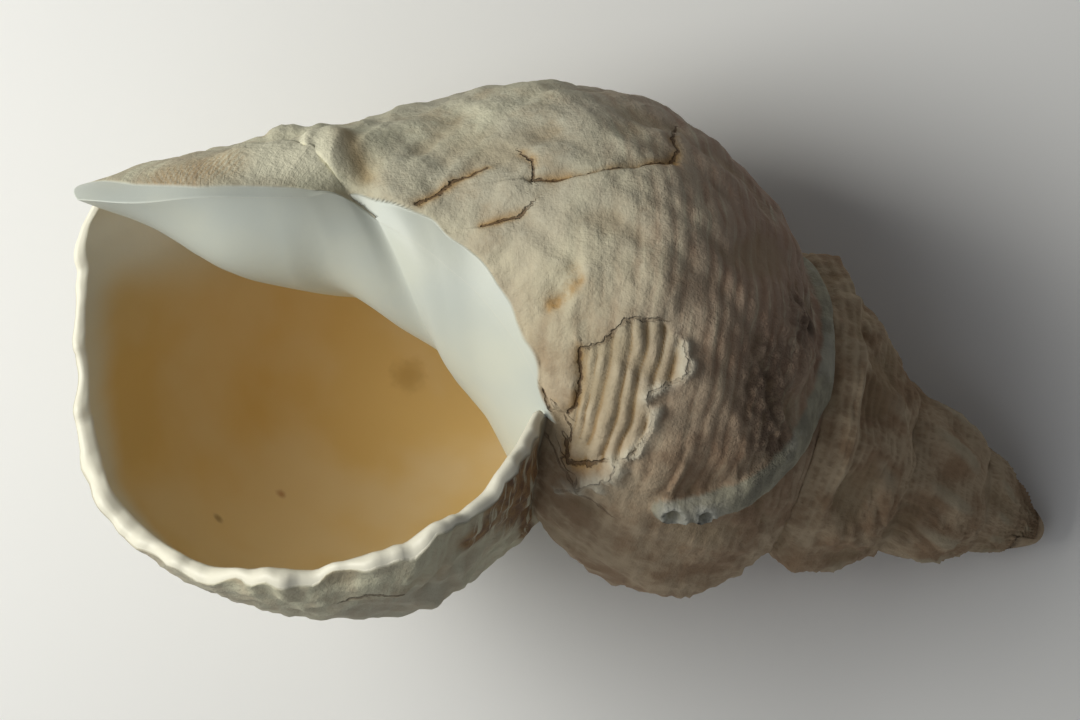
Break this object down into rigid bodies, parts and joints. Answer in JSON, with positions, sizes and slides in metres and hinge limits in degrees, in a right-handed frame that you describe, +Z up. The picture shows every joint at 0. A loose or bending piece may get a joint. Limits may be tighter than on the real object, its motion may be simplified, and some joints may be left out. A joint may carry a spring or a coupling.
{
  "type": "whelk shell",
  "caption": "Weathered whelk shell with a tall stepped spire, a wide open mouth and a short canal, lying on its back with the mouth up.",
  "frame": {"origin": "centre of the bounding box, on the surface that the shell lies on", "axes": "+X from the mouth towards the spire, +Z up out of the mouth"},
  "size_m": [0.085, 0.0522, 0.0459],
  "materials": {
    "shell": "chalky weathered cream outside, smooth tan inside"
  },
  "bodies": {
    "root": {"shell": "shell"}
  },
  "joints": []
}
